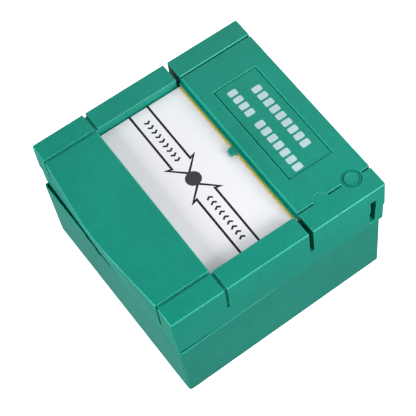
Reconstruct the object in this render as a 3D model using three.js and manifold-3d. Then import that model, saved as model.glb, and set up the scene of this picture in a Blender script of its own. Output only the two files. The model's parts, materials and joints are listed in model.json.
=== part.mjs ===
// Resettable manual call point for releasing a door: surface back box, front housing with the
// press plate mechanism, a fixed upper fascia with its label and a lift-off lower fascia.
// Millimetres. +Z points out of the wall, +Y is the top of the face, +X is the right of the face.
// The origin is at the middle of the wall face.
import * as THREE from 'three';
import { mergeVertices } from 'three/addons/utils/BufferGeometryUtils.js';
import Module from 'manifold-3d';

const wasm = await Module();
wasm.setup();

// driving sizes
// front unit
const faceSize = 86;            // width and height of the face
const fasciaHeight = 12.9;      // from the tier line up to the face
const housingHeight = 9.5;      // from the housing's lower edge up to the tier line
const seamGap = 0.5;            // between the box rim and the housing
const fasciaWall = 2.0;
const faceThickness = 2.2;
const tierInset = 0.4;          // the housing stands in from the fascias
const housingDraft = 0.2;       // and draws in by this much more at its lower edge
const cornerRadius = 0.8;
const leastCorner = 0.05;       // where the wall is set in by more than the corner radius
const tierGap = 0.1;
const stripWidth = 8.5;         // side strips beside the window
const bulgeFace = 2.75;         // the bottom edge swells out by this at the face
const bulgeLow = 0.45;          // and by this at the housing's lower edge
const bulgeRound = 130;         // radius that joins the two flanks of the swell
const bulgeSteps = 16;
const bulgeRoundShare = 0.6;    // the arc takes at most this share of a flank

// window, split and grooves
const panelHeight = 21.1;       // from the bottom edge up to the window
const upperHeight = 29.75;      // from the top edge down to the split
const splitGap = 1.75;          // open gap between the two fascias
const ledgeGap = 0.2;           // between the flag and the ledge above it
const ledgeReach = 1.1;
const ledgeThickness = 0.5;
const frontWallThickness = 1.6;
const catchWidth = 3.3;
const catchReach = 2.6;
const wideGroove = 1.2;
const narrowGroove = 0.8;
const grooveDepth = 0.9;
const narrowDepth = 1.2;
const windowWall = 1.4;
const ribThickness = 1.2;
const ribDepth = 2.5;
const panelRibX = 15;

// label panel and plugs in the upper fascia, placed from the top edge
const labelWidth = 44;
const labelHeight = 17.2;
const labelFromTop = 15.3;
const labelThickness = 0.9;
const labelSunk = 0.25;
const labelGap = 0.3;
const plugFromTop = 7.8;
const plugRadius = 3.45;
const plugRaised = 2.6;
const plugShoulder = 0.3;       // the plug's rim lies this far below the face
const plugProud = 0.05;
const discFromTop = 20.5;
const discRadius = 2.35;
const discSunk = 0.03;
const plugDepth = 2.8;
const plugFit = 0.15;
const grooveStop = 0.5;         // the groove ends this far from a plug

// key slot in the right wall, placed from the top edge and from the tier line
const slotFromTop = 5.2;
const slotWidth = 2.2;
const slotBelowTier = 7.9;
const slotAboveTier = 6.2;

// back box
const boxInset = 0.75;          // the box rim stands in from the face's edge
const boxDraft = 0.4;           // and its back by this much more
const boxHeight = 30.8;
const boxWall = 2.0;
const boxFloor = 2.2;
const boxCorner = 1.2;
const boxTurn = 1.09;           // degrees the box sits askew behind the front unit
const boxShiftX = -0.1;
const boxShiftY = -0.85;
const lipWidth = 0.65;
const rebateDepth = 1.4;
const postRadius = 4.2;
const postWeb = 1.6;            // web that braces each post from the floor
const postWebReach = 3;
const postWebHeight = 15.5;
const screwCentres = 60.3;
const wallSlotLength = 9;
const wallSlotWidth = 4.4;
const knockoutX = -20;
const knockoutY = -18;
const knockoutRadius = 10;
const topKnockoutRadius = 9;
const topKnockoutHeight = 14.9;
const knockoutGroove = 0.8;
const knockoutWeb = 0.8;
const pryMiddle = -8;
const pryWidth = 3.2;
const pryDepth = 2.6;
const pryReliefWidth = 15;      // shallow relief of the rim to both sides of the pry notch
const pryReliefDepth = 0.8;

// housing
const housingWall = 2.2;
const deckRise = 4.7;           // deck above the housing's lower edge
const deckThickness = 1.8;
const skirtClearance = 2.2;
const skirtWall = 1.6;
const skirtDepth = 10.5;
const earRadius = 6;
const earLength = 6.7;
const screwSlotLength = 7.4;
const screwSlotPlay = 0.9;
const pegRadius = 1.4;
const pegFromStripEnd = 9.5;
const pegFromBottom = 11;
const wireSlotWidth = 24;
const wireSlotLength = 5;
const fit = 0.3;                // working gap between neighbours
const holeFit = 0.15;           // gap round a peg, plunger or pin
const root = 0.5;               // how far a boss, web or wall is carried into what it stands on
const clear = 1;                // how far a cutting shape runs past a surface
const touching = 0.001;         // nearer than this counts as on the edge
const largeSides = 32;          // flats round a large, a middle, a screw and a small radius
const middleSides = 24;
const screwSides = 20;
const smallSides = 16;

// fixings
const unitScrewRadius = 1.75;
const unitScrewLength = 24;
const headRadius = 3.4;
const headHeight = 2.2;
const driveWidth = 0.9;
const driveDepth = 1.1;
const seatGap = 0.05;           // under a screw head
const threadGap = 0.1;
const fasciaScrewRadius = 1.2;
const fasciaScrewLength = 9;
const fasciaHeadRadius = 2.4;
const fasciaHeadHeight = 1.6;
const fasciaScrewFromLabel = 4; // beside the label panel's edge
const fasciaScrewDrop = 0.7;    // below the label panel's middle
const fasciaBossRadius = 2.8;

// press plate mechanism
const plateSunk = 3.8;          // plate below the face
const plateThickness = 1.6;
const plateSideGap = 0.4;
const plateTuck = 1.75;         // the plate runs on under the ledge
const glueGap = 0.2;
const carrierThickness = 1.5;
const carrierInset = 0.6;
const carrierTuck = 2.25;
const pivotBelowSill = 1.5;     // pivot axis from the window's lower edge
const pivotDrop = 8.2;          // pivot below the face
const pinRadius = 1.0;
const pinFit = 0.1;
const pinInset = 3.2;           // pin end in from the plate's side
const lugWidth = 2.4;
const lugHalf = 2.2;
const lugTop = 2;
const knuckleGap = 1.6;         // between a knuckle and the lug beside it
const knuckleWidth = 5;
const knuckleHalf = 2;
const prongRadius = 1.3;
const prongLength = 1.8;
const prongGap = 0.2;
const carrierRibX = 28;
const carrierRibDepth = 1.2;
const cupDepth = 1.4;
const pressAngle = 4.5;         // degrees that the plate tilts when it is pressed
const flagThickness = 0.6;
const flagReach = 0.45;         // the flag shows this much beyond the ledge
const flagSideGap = 1.2;
const flagTail = 7.5;
const flagLift = 0.2;
const flagStemWidth = 12;
const flagStemDepth = 2.4;
const springX = 22;
const springFromSplit = 4.75;
const springRadius = 2.3;
const springWire = 0.35;
const springTurns = 5;
const springSteps = 12;         // wire steps in a turn
const springEndGap = 0.1;
const seatHeight = 1.6;

// switches, terminals, latch
const switchMiddle = 12;
const switchFromSill = 13.8;
const switchLength = 19.8;
const switchWidth = 6.4;
const switchHeight = 10.2;
const switchBladeGap = 6.5;
const switchBladeLength = 4.5;
const switchBladeWidth = 2.6;
const bladeThickness = 0.7;
const pocketWall = 1.2;
const pocketRise = 2.2;         // pocket wall above the deck
const plungerRadius = 1.1;
const plungerRise = 1.2;
const plungerInside = 1.1;
const plungerTravel = 1.2;
const terminalWays = 6;
const terminalPitch = 5.08;
const terminalDepth = 11;
const terminalHeight = 10.2;
const terminalFromBottom = 14;
const terminalScrewRadius = 1.7;
const terminalHoleDepth = 5.6;
const terminalWireRadius = 1.3;
const terminalWireHeight = 4;
const terminalWireStop = 2.2;   // a wire hole starts this far from the screws' line
const terminalSeatDepth = 2;
const terminalShankRadius = 1.1;
const terminalShankLength = 3.2;
const terminalHeadHeight = 1.6;
const latchThickness = 2.0;
const latchWidth = 2.6;
const latchTravel = 3.5;
const latchOverlap = 0.75;      // of the latch's nose over the carrier's tab when it is pressed
const latchFromWall = 6.6;      // latch pad in from the right side
const latchLift = 0.1;          // latch above the deck
const latchTabX = 17.5;
const latchTabWidth = 3;
const latchTabReach = 3;
const latchPadThickness = 1.5;
const latchPadBelowSlot = 1.5;  // pad's top below the key slot's top
const latchPostDepth = 2;
const latchNoseReach = 2.5;
const guideWall = 1;
const guideStart = 22;
const guideHeight = 1.4;

// sizes that follow
const half = faceSize / 2;
const housingLow = boxHeight + seamGap;
const tierHeight = housingLow + housingHeight;
const faceHeight = tierHeight + fasciaHeight;
const stripInner = half - stripWidth;                  // middle of the grooves beside the panel
const windowHalf = stripInner + 0.1;
const windowLow = panelHeight - half;
const upperEdge = half - upperHeight;
const stripEnd = upperEdge - splitGap;
const labelMiddle = half - labelFromTop;
const plugHeight = half - plugFromTop;
const discHeight = half - discFromTop;
const slotMiddle = half - slotFromTop;
const slotLow = tierHeight - slotBelowTier;
const slotHigh = tierHeight + slotAboveTier;
const fasciaLow = tierHeight + tierGap;
const faceUnder = faceHeight - faceThickness;
const ledgeEdge = upperEdge - ledgeReach;
const plateTop = faceHeight - plateSunk;
const plateLow = plateTop - plateThickness;
const carrierTop = plateLow - glueGap;
const carrierLow = carrierTop - carrierThickness;
const plateHalf = windowHalf - plateSideGap;
const pivotY = windowLow - pivotBelowSill;
const pivotZ = faceHeight - pivotDrop;
const pinLength = 2 * (plateHalf - pinInset);
const knuckleMiddle = pinLength / 2 - root - lugWidth - knuckleGap - knuckleWidth / 2;
const deckLow = housingLow + deckRise;
const deckTop = deckLow + deckThickness;
const housingHalf = half - tierInset;
const screwOffset = screwCentres / 2;
const rimHalf = half - boxInset;
const backHalf = rimHalf - boxDraft;
const skirtHalf = rimHalf - boxWall - skirtClearance;
const skirtLow = deckLow - skirtDepth;
const postTop = deckLow - earLength - fit;
const bulgeTier = bulgeLow + (bulgeFace - bulgeLow) * housingHeight / (faceHeight - housingLow);
const pegX = (half - fasciaWall + windowHalf + windowWall) / 2;
const pegPlaces = [-pegX, pegX].flatMap((x) => [[x, stripEnd - pegFromStripEnd], [x, pegFromBottom - half]]);
const fasciaScrewX = labelWidth / 2 + fasciaScrewFromLabel;
const fasciaScrewY = labelMiddle - fasciaScrewDrop;
const flagLow = plateTop + flagLift;
const flagEdge = ledgeEdge - flagReach;
const flagTop = flagLow + flagThickness;
const ledgeLow = flagTop + ledgeGap;
const ledgeTop = ledgeLow + ledgeThickness;
const flagHalfWidth = windowHalf - flagSideGap;
const plateEdge = flagEdge + plateTuck;
const carrierEdge = flagEdge + carrierTuck;
const springY = upperEdge - springFromSplit;
const springCore = springRadius - 2 * springWire - fit;      // spigot inside a spring
const switchY = windowLow + switchFromSill;
const switchTop = carrierLow - prongLength - prongGap - plungerRise;
const switchLow = switchTop - switchHeight;
const terminalY = terminalFromBottom - half;
const terminalTop = deckLow - fit;
const terminalLow = terminalTop - terminalHeight;
const latchPadX = half - latchFromWall;

// materials
function finish(color, roughness, metalness) {
  return new THREE.MeshStandardMaterial({ color, roughness, metalness });
}
const greenPlastic = finish(0x2a907c, 0.42, 0);
const boxPlastic = finish(0x2c8f7f, 0.45, 0);
const whitePlastic = finish(0xe4e4e7, 0.35, 0);
const greyPlastic = finish(0xb8babc, 0.5, 0);
const yellowPlastic = finish(0xd9b310, 0.4, 0);
const blackPlastic = finish(0x1d1e20, 0.5, 0);
const redPlastic = finish(0xa32b22, 0.45, 0);
const blockPlastic = finish(0x3d7d4c, 0.5, 0);
const steel = finish(0xb4b6b8, 0.35, 1);
const brass = finish(0xc6a04e, 0.3, 1);

// solids
// closed mesh to a solid that can be joined and cut
function toSolid(geometry) {
  const bare = geometry.index ? geometry.clone() : geometry;
  bare.deleteAttribute('normal');
  bare.deleteAttribute('uv');
  const merged = mergeVertices(bare, 1e-5);
  return new wasm.Manifold(new wasm.Mesh({
    numProp: 3,
    vertProperties: merged.attributes.position.array,
    triVerts: new Uint32Array(merged.index.array),
  }));
}

function toGeometry(solid) {
  const mesh = solid.getMesh();
  const geometry = new THREE.BufferGeometry();
  geometry.setAttribute('position', new THREE.BufferAttribute(mesh.vertProperties, 3));
  geometry.setIndex(new THREE.BufferAttribute(mesh.triVerts, 1));
  geometry.computeVertexNormals();
  return geometry;
}

// axis-aligned block between two limits on each axis
function block(x0, x1, y0, y1, z0, z1) {
  const geometry = new THREE.BoxGeometry(x1 - x0, y1 - y0, z1 - z0);
  geometry.translate((x0 + x1) / 2, (y0 + y1) / 2, (z0 + z1) / 2);
  return toSolid(geometry);
}

// upright round bar
function post(x, y, z0, z1, radius, flats = middleSides) {
  const geometry = new THREE.CylinderGeometry(radius, radius, z1 - z0, flats);
  geometry.rotateX(Math.PI / 2);
  geometry.translate(x, y, (z0 + z1) / 2);
  return toSolid(geometry);
}

// round bar along X
function axle(x0, x1, y, z, radius) {
  const geometry = new THREE.CylinderGeometry(radius, radius, x1 - x0, middleSides);
  geometry.rotateZ(Math.PI / 2);
  geometry.translate((x0 + x1) / 2, y, z);
  return toSolid(geometry);
}

// round bar along Y
function bore(x, y0, y1, z, radius, flats) {
  const geometry = new THREE.CylinderGeometry(radius, radius, y1 - y0, flats);
  geometry.translate(x, (y0 + y1) / 2, z);
  return toSolid(geometry);
}

// upright bar with a rounded-slot section, its length along X or Y
function slotBar(x, y, z0, z1, length, width, alongY) {
  const run = (length - width) / 2;
  const radius = width / 2;
  const shape = new THREE.Shape();
  shape.absarc(run, 0, radius, -Math.PI / 2, Math.PI / 2);
  shape.absarc(-run, 0, radius, Math.PI / 2, 3 * Math.PI / 2);
  shape.closePath();
  const geometry = new THREE.ExtrudeGeometry(shape, {
    depth: z1 - z0, bevelEnabled: false, curveSegments: 10,
  });
  if (alongY) geometry.rotateZ(Math.PI / 2);
  geometry.translate(x, y, z0);
  return toSolid(geometry);
}

// how far the swell stands out at x, from 0 at the side strips to 1 in the middle:
// two straight flanks joined by a large arc
function swell(x) {
  const run = stripInner;
  const slope = bulgeFace / run;
  const turn = Math.min(bulgeRound * slope, run * bulgeRoundShare);
  const peak = slope * run - turn * slope / 2;
  const away = Math.abs(x);
  const reach = away > turn ? slope * (run - away) : peak - away * away * slope / (2 * turn);
  return Math.max(0, reach) / peak;
}

// upright block with the front unit's outline: rounded square corners and a swelling bottom edge.
// The half width and the swell change evenly from the low end to the high end.
function unitBlock(low, high) {
  const radius = Math.max(cornerRadius - (half - high.half), leastCorner);
  const shape = new THREE.Shape();
  const edge = high.half;
  for (let i = 0; i <= bulgeSteps; i += 1) {
    const x = -stripInner + 2 * stripInner * i / bulgeSteps;
    if (i === 0) {
      shape.moveTo(-edge + radius, -edge);
    }
    shape.lineTo(x, -edge);
  }
  shape.absarc(edge - radius, -edge + radius, radius, -Math.PI / 2, 0);
  shape.absarc(edge - radius, edge - radius, radius, 0, Math.PI / 2);
  shape.absarc(-edge + radius, edge - radius, radius, Math.PI / 2, Math.PI);
  shape.absarc(-edge + radius, -edge + radius, radius, Math.PI, 3 * Math.PI / 2);
  const geometry = new THREE.ExtrudeGeometry(shape, {
    depth: high.z - low.z, bevelEnabled: false, curveSegments: 3,
  });
  const position = geometry.attributes.position;
  for (let i = 0; i < position.count; i += 1) {
    const end = position.getZ(i) > (high.z - low.z) / 2 ? high : low;
    const scale = end.half / edge;
    const x = position.getX(i) * scale;
    let y = position.getY(i) * scale;
    if (y < -end.half + touching) y -= end.swell * swell(x);
    position.setXYZ(i, x, y, end.z);
  }
  return toSolid(geometry);
}

// straight-sided square block with small corner radii, drafted from low to high
function boxBlock(lowHalf, highHalf, z0, z1, radius) {
  const shape = new THREE.Shape();
  const edge = highHalf;
  shape.absarc(edge - radius, -edge + radius, radius, -Math.PI / 2, 0);
  shape.absarc(edge - radius, edge - radius, radius, 0, Math.PI / 2);
  shape.absarc(-edge + radius, edge - radius, radius, Math.PI / 2, Math.PI);
  shape.absarc(-edge + radius, -edge + radius, radius, Math.PI, 3 * Math.PI / 2);
  const geometry = new THREE.ExtrudeGeometry(shape, {
    depth: z1 - z0, bevelEnabled: false, curveSegments: 4,
  });
  const position = geometry.attributes.position;
  for (let i = 0; i < position.count; i += 1) {
    const scale = position.getZ(i) > (z1 - z0) / 2 ? 1 : lowHalf / edge;
    position.setXYZ(i, position.getX(i) * scale, position.getY(i) * scale, position.getZ(i) + z0);
  }
  return toSolid(geometry);
}

function join(solids) {
  return solids.reduce((sum, solid) => sum.add(solid));
}

function cut(solid, tools) {
  return tools.reduce((rest, tool) => rest.subtract(tool), solid);
}

// block between two values of x given in either order
function sideBlock(xa, xb, y0, y1, z0, z1) {
  return block(Math.min(xa, xb), Math.max(xa, xb), y0, y1, z0, z1);
}

// assembly
const assembly = new THREE.Group();
const boxGroup = new THREE.Group();
boxGroup.position.set(boxShiftX, boxShiftY, 0);
boxGroup.rotation.z = boxTurn * Math.PI / 180;
assembly.add(boxGroup);

function addPart(name, solid, material, parent = assembly) {
  const mesh = new THREE.Mesh(toGeometry(solid), material);
  mesh.name = name;
  parent.add(mesh);
}

const sides = [['left', -1], ['right', 1]];

// back box: drafted shell with a rebated rim, screw posts, wall slots and cable knockouts
function makeBackBox() {
  const inner = rimHalf - boxWall;
  const shell = cut(boxBlock(backHalf, rimHalf, 0, boxHeight, boxCorner), [
    boxBlock(backHalf - boxWall, inner, boxFloor, boxHeight + clear, boxCorner / 2),
    boxBlock(rimHalf - lipWidth, rimHalf - lipWidth, boxHeight - rebateDepth, boxHeight + clear,
      boxCorner / 2),
    ...[[pryWidth, pryDepth], [pryReliefWidth, pryReliefDepth]].map(([width, depth]) => (
      block(pryMiddle - width / 2, pryMiddle + width / 2, -rimHalf - clear, root - inner,
        boxHeight - depth, boxHeight + clear))),
  ]);
  const webReach = postRadius + postWebReach;
  const posts = sides.flatMap(([, side]) => [
    post(side * screwOffset, 0, boxFloor - root, postTop, postRadius),
    block(side * screwOffset - postWeb / 2, side * screwOffset + postWeb / 2, -webReach, webReach,
      boxFloor - root, postWebHeight),
  ]);
  const screwHoles = sides.map(([, side]) => (
    post(side * screwOffset, 0, boxFloor + 2 * clear, postTop + clear, unitScrewRadius + threadGap)));
  const wallSlots = [-1, 1].map((side) => (
    slotBar(0, side * screwOffset, -clear, boxFloor + clear, wallSlotLength, wallSlotWidth, false)));
  const floorRing = post(knockoutX, knockoutY, boxFloor - knockoutWeb, boxFloor + clear,
    knockoutRadius, largeSides)
    .subtract(post(knockoutX, knockoutY, 0, boxFloor + 2 * clear,
      knockoutRadius - knockoutGroove, largeSides));
  const topRing = bore(0, backHalf - clear, rimHalf + clear, topKnockoutHeight,
    topKnockoutRadius, largeSides)
    .subtract(bore(0, 0, rimHalf + 2 * clear, topKnockoutHeight,
      topKnockoutRadius - knockoutGroove, largeSides));
  const topSkin = block(-half, half, backHalf - boxWall, backHalf - boxWall + knockoutWeb, 0, boxHeight);
  return cut(join([shell, ...posts]), [
    ...screwHoles, ...wallSlots, floorRing, topRing.subtract(topSkin)]);
}
addPart('back_box', makeBackBox(), boxPlastic, boxGroup);

// solid round a switch and the pocket cut in it, with a slot for the switch's blades
function switchPocket(x) {
  const reachX = switchLength / 2 + fit;
  const reachY = switchWidth / 2 + fit;
  const low = switchLow - fit;
  const wall = block(x - reachX - pocketWall, x + reachX + pocketWall, switchY - reachY - pocketWall,
    switchY + reachY + pocketWall, low - pocketWall, deckTop + pocketRise);
  const bladeReach = switchBladeWidth / 2 + fit;
  return { wall, holes: [
    block(x - reachX, x + reachX, switchY - reachY, switchY + reachY, low, deckTop + pocketRise + clear),
    block(x - reachX + 2 * clear, x + reachX - 2 * clear, switchY - bladeReach, switchY + bladeReach,
      low - pocketWall - clear, low + clear),
  ] };
}

// front housing: lower tier wall, deck, skirt into the box, pivot lugs and switch pockets
function makeHousing() {
  const wallLow = { half: housingHalf - housingDraft, swell: bulgeLow, z: housingLow };
  const wallHigh = { half: housingHalf, swell: bulgeTier, z: tierHeight };
  const outer = unitBlock(wallLow, wallHigh);
  const inner = unitBlock(
    { half: wallLow.half - housingWall, swell: wallLow.swell, z: housingLow - clear },
    { half: wallHigh.half - housingWall, swell: wallHigh.swell, z: tierHeight + clear });
  const deckReach = housingHalf - housingWall + root;
  const deck = block(-deckReach, deckReach, -deckReach, deckReach, deckLow, deckTop);
  const skirtInner = skirtHalf - skirtWall;
  const skirt = block(-skirtHalf, skirtHalf, -skirtHalf, skirtHalf, skirtLow, deckLow + root)
    .subtract(block(-skirtInner, skirtInner, -skirtInner, skirtInner, skirtLow - clear, deckLow));
  const ears = sides.map(([, side]) => (
    post(side * screwOffset, boxShiftY, deckLow - earLength, deckLow + root, earRadius)));
  const screwSlots = sides.map(([, side]) => (
    slotBar(side * screwOffset, boxShiftY, deckLow - earLength - clear, deckTop + clear,
      screwSlotLength, 2 * unitScrewRadius + screwSlotPlay, true)));
  const headRelief = sides.map(([, side]) => (
    post(side * screwOffset, boxShiftY, deckTop + seatGap, faceHeight, headRadius + 2 * fit)));
  const lugs = sides.map(([, side]) => {
    const outerEnd = side * (pinLength / 2 - root);
    return sideBlock(outerEnd - side * lugWidth, outerEnd, pivotY - lugHalf, pivotY + lugHalf,
      deckTop - root, pivotZ + lugTop);
  });
  const pinHole = axle(-half, half, pivotY, pivotZ, pinRadius + pinFit);
  const pockets = sides.map(([, side]) => switchPocket(side * switchMiddle));
  const springSeats = sides.map(([, side]) => (
    post(side * springX, springY, deckTop - root, deckTop + seatHeight, springCore)));
  const guideReach = latchWidth / 2 + fit;
  const guides = [slotMiddle - guideReach - guideWall, slotMiddle + guideReach].map((y) => (
    block(guideStart, latchPadX - latchTravel - root, y, y + guideWall, deckTop - root,
      deckTop + guideHeight)));
  const pegHoles = pegPlaces.map(([x, y]) => (
    post(x, y, deckLow - clear, deckTop + clear, pegRadius + holeFit)));
  const bossHoles = sides.map(([, side]) => (
    post(side * fasciaScrewX, fasciaScrewY, deckLow - clear, deckTop + clear,
      fasciaScrewRadius + 2 * threadGap)));
  const innerWall = housingHalf - housingWall;
  const keyWay = block(innerWall - root, half + clear, slotMiddle - slotWidth / 2,
    slotMiddle + slotWidth / 2, slotLow, slotHigh);
  const keyRelief = block(innerWall - 2 * clear, half, slotMiddle - slotWidth / 2,
    slotMiddle + slotWidth / 2, deckLow - clear, deckTop + clear);
  const wireMiddle = (switchY - switchWidth / 2 + pivotY) / 2;
  const wireHole = block(-wireSlotWidth / 2, wireSlotWidth / 2, wireMiddle - wireSlotLength / 2,
    wireMiddle + wireSlotLength / 2, deckLow - clear, deckTop + clear);
  const shell = join([outer.subtract(inner), deck, skirt, ...ears, ...lugs,
    ...pockets.map(({ wall }) => wall), ...springSeats, ...guides]);
  return cut(shell, [...screwSlots, ...headRelief, pinHole, ...pockets.flatMap(({ holes }) => holes),
    ...pegHoles, ...bossHoles, keyWay, keyRelief, wireHole]);
}
addPart('front_housing', makeHousing(), greenPlastic);

// outer surface shared by the two fascias, hollow from below
function makeCap() {
  const outer = unitBlock(
    { half, swell: bulgeTier, z: fasciaLow },
    { half, swell: bulgeFace, z: faceHeight });
  const inner = unitBlock(
    { half: half - fasciaWall, swell: bulgeTier, z: fasciaLow - clear },
    { half: half - fasciaWall, swell: bulgeFace, z: faceUnder });
  return outer.subtract(inner);
}

// groove cut across the face along Y
function faceGroove(x, y0, y1, width, depth) {
  return block(x - width / 2, x + width / 2, y0, y1, faceHeight - depth, faceHeight + clear);
}

// upper fascia: label recess, ring plug and disc holes, front ledge with the plate catch
function makeUpperFascia() {
  const outside = half + clear;
  const kept = makeCap().intersect(block(-outside, outside, upperEdge, outside, 0, faceHeight + clear));
  const wallEnd = upperEdge + frontWallThickness;
  const endWalls = sides.map(([, side]) => (
    sideBlock(side * windowHalf, side * (half - root), upperEdge, wallEnd, fasciaLow, faceUnder + root)));
  const frontWall = block(-windowHalf, windowHalf, upperEdge, wallEnd, ledgeLow, faceUnder + root);
  const ledge = block(-windowHalf + fit, windowHalf - fit, ledgeEdge, upperEdge + root, ledgeLow, ledgeTop);
  const catchArm = slotBar(0, ledgeEdge - catchReach / 2 + clear, ledgeLow, ledgeTop + glueGap,
    catchReach + 2 * clear, catchWidth, true);
  const catchLip = block(root - catchWidth / 2, catchWidth / 2 - root, ledgeEdge - catchReach + threadGap,
    flagEdge - fit, plateTop + glueGap, ledgeLow + fit);
  const bosses = sides.map(([, side]) => (
    post(side * fasciaScrewX, fasciaScrewY, deckTop + fit, faceUnder + root, fasciaBossRadius)));
  const bossHoles = sides.map(([, side]) => (
    post(side * fasciaScrewX, fasciaScrewY, deckTop, deckTop + fasciaScrewLength,
      fasciaScrewRadius + threadGap, screwSides)));
  const recessX = labelWidth / 2 + labelGap;
  const recessY = labelHeight / 2 + labelGap;
  const labelRecess = block(-recessX, recessX, labelMiddle - recessY, labelMiddle + recessY,
    faceHeight - labelSunk - labelThickness - threadGap, faceHeight + clear);
  const plugHole = post(stripInner, plugHeight, faceUnder - clear, faceHeight + clear,
    plugRadius + plugFit, largeSides);
  const discHole = post(stripInner, discHeight, faceUnder - clear, faceHeight + clear,
    discRadius + plugFit, middleSides);
  const discEdge = discRadius + plugFit + grooveStop;
  const plugEdge = plugRadius + plugFit + grooveStop;
  const grooves = [
    faceGroove(-stripInner, 0, outside, narrowGroove, narrowDepth),
    faceGroove(stripInner, 0, discHeight - discEdge, narrowGroove, narrowDepth),
    faceGroove(stripInner, discHeight + discEdge, plugHeight - plugEdge, narrowGroove, narrowDepth),
    faceGroove(stripInner, plugHeight + plugEdge, outside, narrowGroove, narrowDepth),
    ...sides.map(([, side]) => block(side * stripInner - narrowGroove / 2,
      side * stripInner + narrowGroove / 2, half - narrowDepth, outside, fasciaLow - clear, faceHeight)),
  ];
  const keySlot = block(half - fasciaWall - clear, outside, slotMiddle - slotWidth / 2,
    slotMiddle + slotWidth / 2, slotLow, slotHigh);
  const body = join([kept, ...endWalls, frontWall, ledge, catchArm, catchLip, ...bosses]);
  return cut(body, [...bossHoles, labelRecess, plugHole, discHole, ...grooves, keySlot]);
}
addPart('upper_fascia', makeUpperFascia(), greenPlastic);

addPart('label_plate', block(-labelWidth / 2, labelWidth / 2,
  labelMiddle - labelHeight / 2, labelMiddle + labelHeight / 2,
  faceHeight - labelSunk - labelThickness, faceHeight - labelSunk), greenPlastic);

// plugs that close the two unused lamp holes
addPart('ring_plug', join([
  post(stripInner, plugHeight, faceHeight - plugDepth, faceHeight - plugShoulder, plugRadius, largeSides),
  post(stripInner, plugHeight, faceHeight - plugShoulder - root, faceHeight + plugProud,
    plugRaised, largeSides),
]), greenPlastic);
addPart('blanking_disc', post(stripInner, discHeight, faceHeight - plugDepth, faceHeight - discSunk,
  discRadius, middleSides), greenPlastic);

// lower fascia: two side strips, the swelling bottom panel, window walls and locating pegs
function makeLowerFascia() {
  const outside = half + bulgeFace + clear;
  const kept = makeCap().intersect(block(-outside, outside, -outside, stripEnd, 0, faceHeight + clear));
  const window = block(-windowHalf, windowHalf, windowLow, half, 0, faceHeight + clear);
  const windowWalls = sides.map(([, side]) => sideBlock(side * windowHalf, side * (windowHalf + windowWall),
    windowLow - windowWall, stripEnd, carrierLow - 2 * fit, faceUnder + root));
  const sillWall = block(-windowHalf - windowWall, windowHalf + windowWall, windowLow - windowWall,
    windowLow, plateLow + fit, faceUnder + root);
  const endWalls = sides.map(([, side]) => sideBlock(side * windowHalf, side * (half - root),
    stripEnd - frontWallThickness, stripEnd, fasciaLow, faceUnder + root));
  const pegs = pegPlaces.map(([x, y]) => post(x, y, deckLow - root, faceUnder + root, pegRadius, smallSides));
  const ribs = [-panelRibX, panelRibX].map((x) => block(x - ribThickness / 2, x + ribThickness / 2,
    clear - half, windowLow - windowWall + root, faceUnder - ribDepth, faceUnder + root));
  const grooves = sides.flatMap(([, side]) => {
    const x = side * stripInner;
    const sill = windowLow + glueGap;
    const reach = wideGroove / 2;
    return [
      faceGroove(x, -outside, windowLow + clear, wideGroove, grooveDepth),
      block(x - reach, x + reach, -outside, grooveDepth - half, fasciaLow - clear, faceHeight),
      sideBlock(side * windowHalf, side * (half + clear), sill - reach, sill + reach,
        faceHeight - grooveDepth, faceHeight + clear),
      block(side * half - grooveDepth, side * half + grooveDepth, sill - reach, sill + reach,
        fasciaLow - clear, faceHeight + clear),
    ];
  });
  const body = join([kept.subtract(window), ...windowWalls, sillWall, ...endWalls, ...pegs, ...ribs]);
  return cut(body, grooves);
}
addPart('lower_fascia', makeLowerFascia(), greenPlastic);

// white press plate and the hinged carrier under it
addPart('press_plate', block(-plateHalf, plateHalf, windowLow + fit, plateEdge, plateLow, plateTop),
  whitePlastic);

function makeCarrier() {
  const carrierHalf = plateHalf - carrierInset;
  const tray = block(-carrierHalf, carrierHalf, pivotY - knuckleHalf + root, carrierEdge, carrierLow,
    carrierTop);
  const lugInner = pinLength / 2 - lugWidth - root - fit - holeFit;
  const lugNotches = sides.map(([, side]) => sideBlock(side * lugInner, side * (half - fasciaWall),
    pivotY - lugHalf - clear, pivotY + lugHalf + clear, carrierLow - clear, carrierTop + clear));
  const knuckles = sides.map(([, side]) => block(
    side * knuckleMiddle - knuckleWidth / 2, side * knuckleMiddle + knuckleWidth / 2,
    pivotY - knuckleHalf, pivotY + knuckleHalf, pivotZ - knuckleHalf, carrierLow + root));
  const prongs = sides.map(([, side]) => post(side * switchMiddle, switchY,
    carrierLow - prongLength, carrierLow + root, prongRadius, smallSides));
  const ribs = [-carrierRibX, 0, carrierRibX].map((x) => block(x - ribThickness / 2, x + ribThickness / 2,
    pivotY + 2 * knuckleHalf, springY - springRadius - root, carrierLow - carrierRibDepth,
    carrierLow + root));
  const cups = sides.map(([, side]) => (
    post(side * springX, springY, carrierLow - cupDepth, carrierLow + root, springCore, smallSides)));
  const tab = block(latchTabX, latchTabX + latchTabWidth, carrierEdge - root, carrierEdge + latchTabReach,
    carrierLow, carrierTop);
  const screwAccess = sides.map(([, side]) => (
    post(side * screwOffset, boxShiftY, carrierLow - clear, carrierTop + clear, headRadius + fit)));
  const pinHole = axle(-half, half, pivotY, pivotZ, pinRadius + holeFit);
  return cut(join([tray, ...knuckles, ...prongs, ...ribs, ...cups, tab]),
    [...lugNotches, pinHole, ...screwAccess]);
}
addPart('plate_carrier', makeCarrier(), greyPlastic);
addPart('pivot_pin', axle(-pinLength / 2, pinLength / 2, pivotY, pivotZ, pinRadius), steel);

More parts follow.
